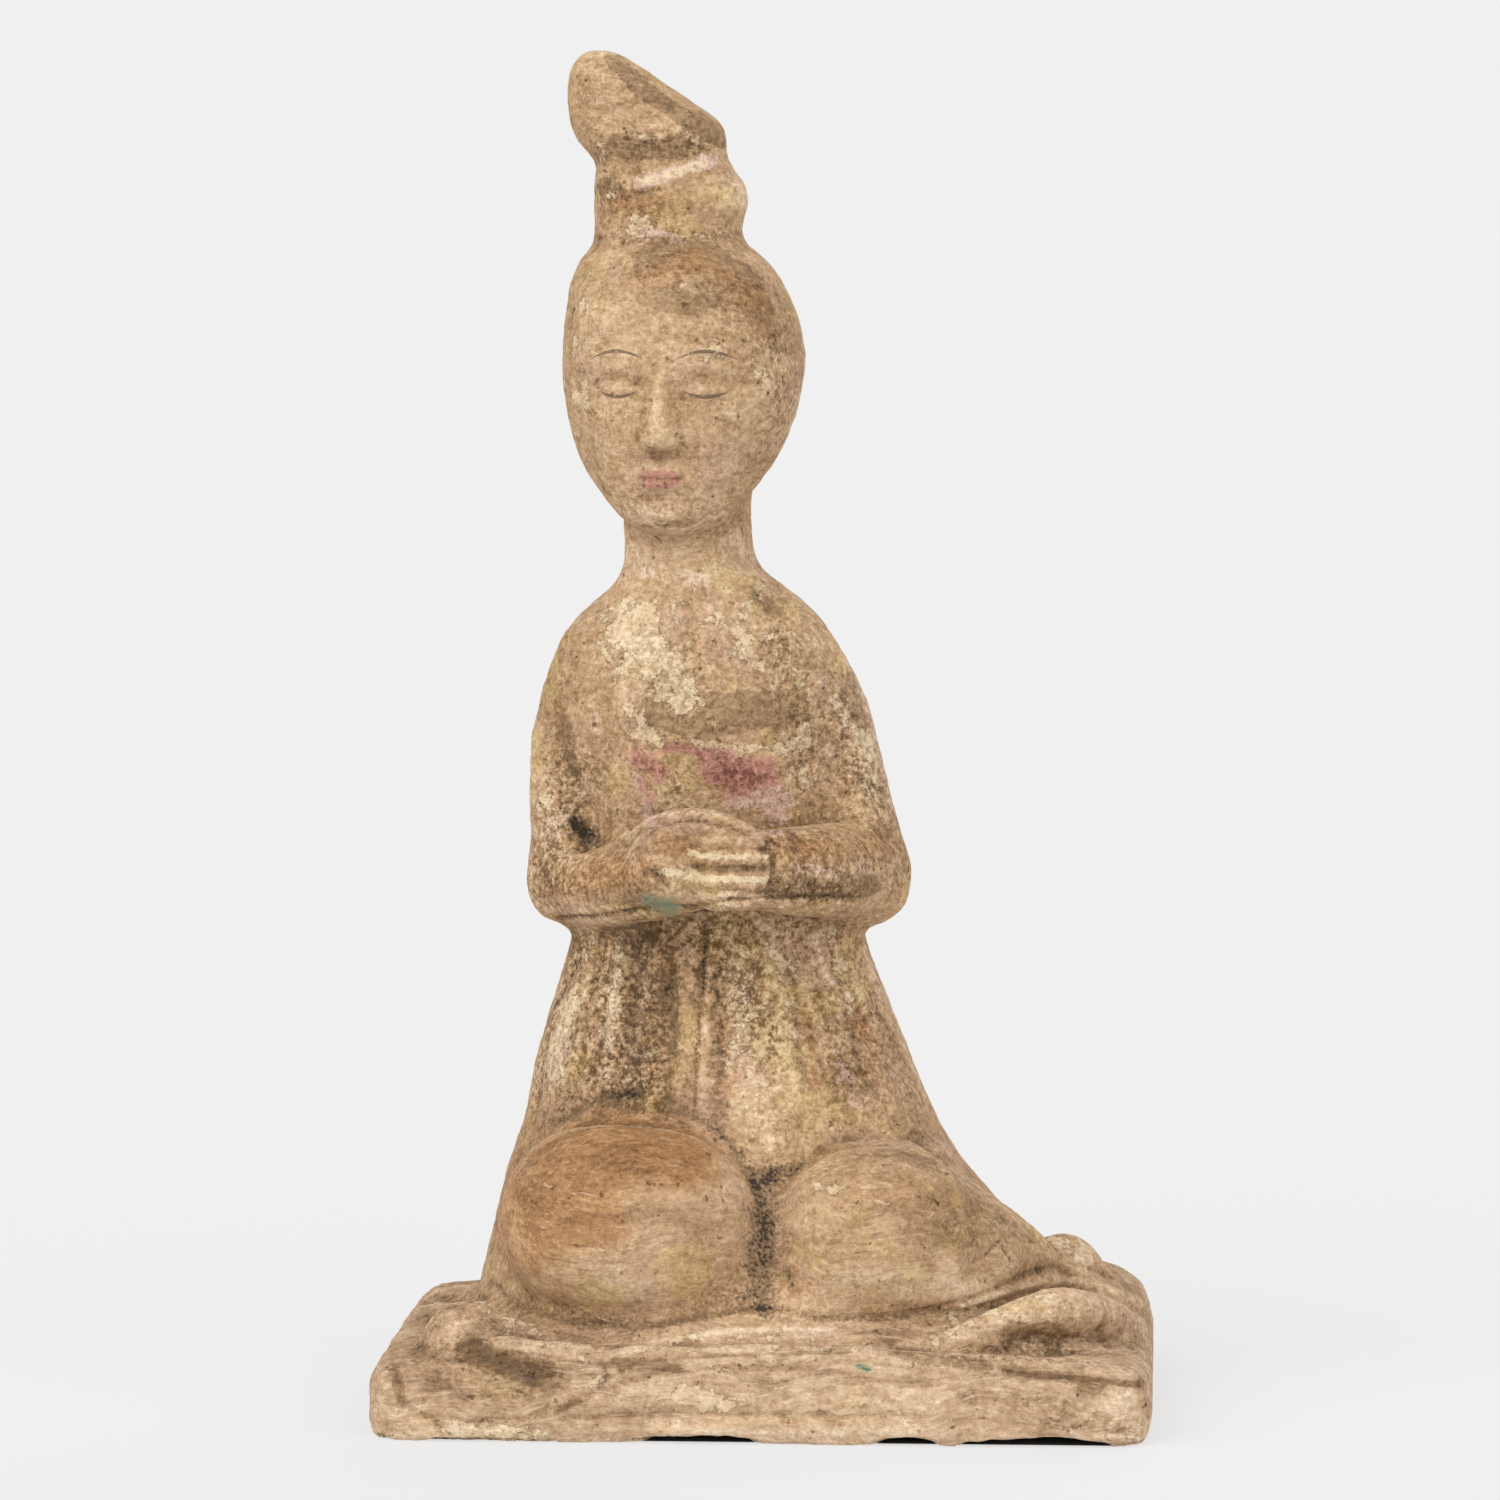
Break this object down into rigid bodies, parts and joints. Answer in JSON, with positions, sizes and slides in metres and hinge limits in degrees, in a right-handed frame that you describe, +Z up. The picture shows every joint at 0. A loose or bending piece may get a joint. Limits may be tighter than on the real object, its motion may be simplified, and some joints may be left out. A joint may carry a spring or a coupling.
{
  "type": "tang court lady figure",
  "caption": "Kneeling court lady with a tall folded topknot, high-waisted pleated skirt and clasped hands, modelled in one piece with a low slab.",
  "frame": {"origin": "under the middle of the slab, on the surface it stands on", "axes": "+Z up, -Y the way the lady faces, +X to her left"},
  "size_m": [0.17, 0.124, 0.2998],
  "materials": {
    "earthenware": "low-fired buff earthenware, dry and matt, with worn pigment and slip"
  },
  "bodies": {
    "root": {"court_lady": "earthenware"}
  },
  "joints": []
}
